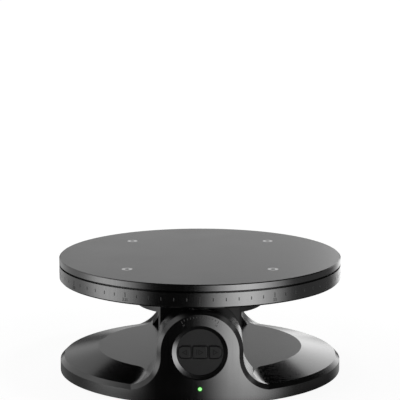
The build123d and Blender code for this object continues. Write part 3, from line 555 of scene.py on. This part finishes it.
def box_share(s, box, level, rise):
    """How strongly a box shows in a direction, given as its level heading and its rise."""
    ahead = s.vector_math("DOT_PRODUCT", level, heading(box.azimuth)).outputs["Value"]
    aside = s.vector_math("DOT_PRODUCT", level, heading(box.azimuth + 90)).outputs["Value"]
    turn = s.math("ARCTAN2", aside, ahead)
    share = box.strength
    for side, (even, whole) in ((-1, box.left), (1, box.right)):
        edge = s.remap(turn, side * math.radians(whole), side * math.radians(even), smooth=True)
        share = s.math("MULTIPLY", share, edge)
    for side, (middle, softness) in ((1, box.low), (-1, box.high)):
        dark, lit = (math.sin(math.radians(middle + side * half * softness)) for half in (-0.5, 0.5))
        share = s.math("MULTIPLY", share, s.remap(rise, dark, lit, smooth=True))
    return share


def studio_light():
    """A world of soft boxes on a dark room, which the camera itself sees as plain white."""
    world = bpy.data.worlds.new("studio")
    world.use_nodes = True
    s = Shader(world.node_tree)
    direction = s.vector_math("NORMALIZE", s.node("ShaderNodeTexCoord").outputs["Generated"]).outputs[0]
    rise = s.split(direction)[2]
    level = s.vector_math("NORMALIZE", s.vector_math("MULTIPLY", direction, (1, 1, 0)).outputs[0]).outputs[0]
    light = AMBIENT
    for box in SOFT_BOXES.values():
        light = s.math("ADD", light, box_share(s, box, level, rise))
    for card in BLACK_CARDS.values():
        light = s.math("MULTIPLY", light, s.math("SUBTRACT", 1.0, box_share(s, card, level, rise)))
    light = s.math("ADD", light, s.remap(rise, *FLOOR_RISE, 0.0, FLOOR_GLOW, smooth=True))
    seen = s.node("ShaderNodeLightPath").outputs["Is Camera Ray"]
    room = s.node("ShaderNodeBackground")
    s.feed(room.inputs["Color"], s.join(light, light, light))
    plain = s.node("ShaderNodeBackground")
    s.feed(plain.inputs["Color"], WHITE)
    either = s.node("ShaderNodeMixShader")
    s.feed(either.inputs[0], seen)
    s.feed(either.inputs[1], room.outputs[0])
    s.feed(either.inputs[2], plain.outputs[0])
    s.feed(s.node("ShaderNodeOutputWorld").inputs["Surface"], either.outputs[0])
    bpy.context.scene.world = world


FLOOR_REACH = 12.0  # metres
FLOOR_DROP = 0.2 * MM
FLOOR_TONE = 0.3
FLOOR_LIGHT = 0.94


def pale_floor():
    """A wide white floor that shows a faint contact shadow and throws no light back."""
    mesh = bmesh.new()
    bmesh.ops.create_grid(mesh, x_segments=8, y_segments=8, size=FLOOR_REACH)
    data = bpy.data.meshes.new("floor")
    mesh.to_mesh(data)
    mesh.free()
    floor = bpy.data.objects.new("floor", data)
    floor.location.z = -FLOOR_DROP
    material, s = new_material("white_floor")
    surface(
        s,
        Base_Color=grey(FLOOR_TONE),
        Roughness=0.9,
        Specular_IOR_Level=0.0,
        Emission_Color=WHITE,
        Emission_Strength=FLOOR_LIGHT,
    )
    data.materials.append(material)
    bpy.context.scene.collection.objects.link(floor)
    for ray in ("diffuse", "glossy", "transmission", "shadow"):
        setattr(floor, "visible_" + ray, False)


SHADE_CENTRE = (-15 * MM, 10 * MM)
SHADE_EVEN = (120 * MM, 0.7)  # distance from its centre and how much of the light it takes away
SHADE_TAIL = (142 * MM, 0.45)
SHADE_END = 300 * MM


def floor_shade():
    """A painted shadow: a dark sheet on the floor round the base, which shows in reflections but not to the
    camera.
    """
    mesh = bmesh.new()
    bmesh.ops.create_circle(mesh, cap_ends=True, segments=96, radius=SHADE_END)
    data = bpy.data.meshes.new("floor_shade")
    mesh.to_mesh(data)
    mesh.free()
    shade = bpy.data.objects.new("floor_shade", data)
    shade.location = (*SHADE_CENTRE, 0.0)
    material, s = new_material("floor_shade")
    distance = s.vector_math("LENGTH", s.place()).outputs["Value"]
    (even, most), (tail, least) = SHADE_EVEN, SHADE_TAIL
    near = s.remap(distance, even, tail, most - least, 0.0, smooth=True)
    far = s.remap(distance, tail, SHADE_END, least, 0.0, smooth=True)
    clear = s.node("ShaderNodeBsdfTransparent")
    black = s.node("ShaderNodeEmission")
    s.feed(black.inputs["Strength"], 0.0)
    either = s.node("ShaderNodeMixShader")
    s.feed(either.inputs[0], s.math("ADD", near, far))
    s.feed(either.inputs[1], clear.outputs[0])
    s.feed(either.inputs[2], black.outputs[0])
    s.feed(s.node("ShaderNodeOutputMaterial").inputs["Surface"], either.outputs[0])
    data.materials.append(material)
    bpy.context.scene.collection.objects.link(shade)
    for ray in ("camera", "transmission", "shadow"):
        setattr(shade, "visible_" + ray, False)


CAMERA_PLACE = (0.0, -1.2666, 0.3425)
CAMERA_DOWN = math.radians(9.814)
CAMERA_LENS = 163.2  # the lens and the sensor are in millimetres
CAMERA_SENSOR = 36.0
CAMERA_NEAR = 0.05
CAMERA_FAR = 50.0


def front_camera():
    data = bpy.data.cameras.new("front")
    data.lens = CAMERA_LENS
    data.sensor_width = CAMERA_SENSOR
    data.clip_start = CAMERA_NEAR
    data.clip_end = CAMERA_FAR
    camera = bpy.data.objects.new("front", data)
    camera.location = CAMERA_PLACE
    camera.rotation_euler = (math.pi / 2 - CAMERA_DOWN, 0.0, 0.0)
    bpy.context.scene.collection.objects.link(camera)
    bpy.context.scene.camera = camera


# ---- the scene ----

paint_nodes()
grey_ink = printed("grey_ink", 0.075)
dark_ink = printed("dark_ink", 0.006)
dial_marks(grey_ink)
tilt_marks(grey_ink)
key_icon("left_key_icon", "button_left", "left_key", dark_ink, -1)
key_icon("play_key_icon", "button_play", "play_key", dark_ink, 1, bar_offset=PLAY_BAR_OFFSET)
key_icon("right_key_icon", "button_right", "right_key", dark_ink, 1)
studio_light()
pale_floor()
floor_shade()
front_camera()
bpy.context.scene.view_settings.view_transform = "Standard"
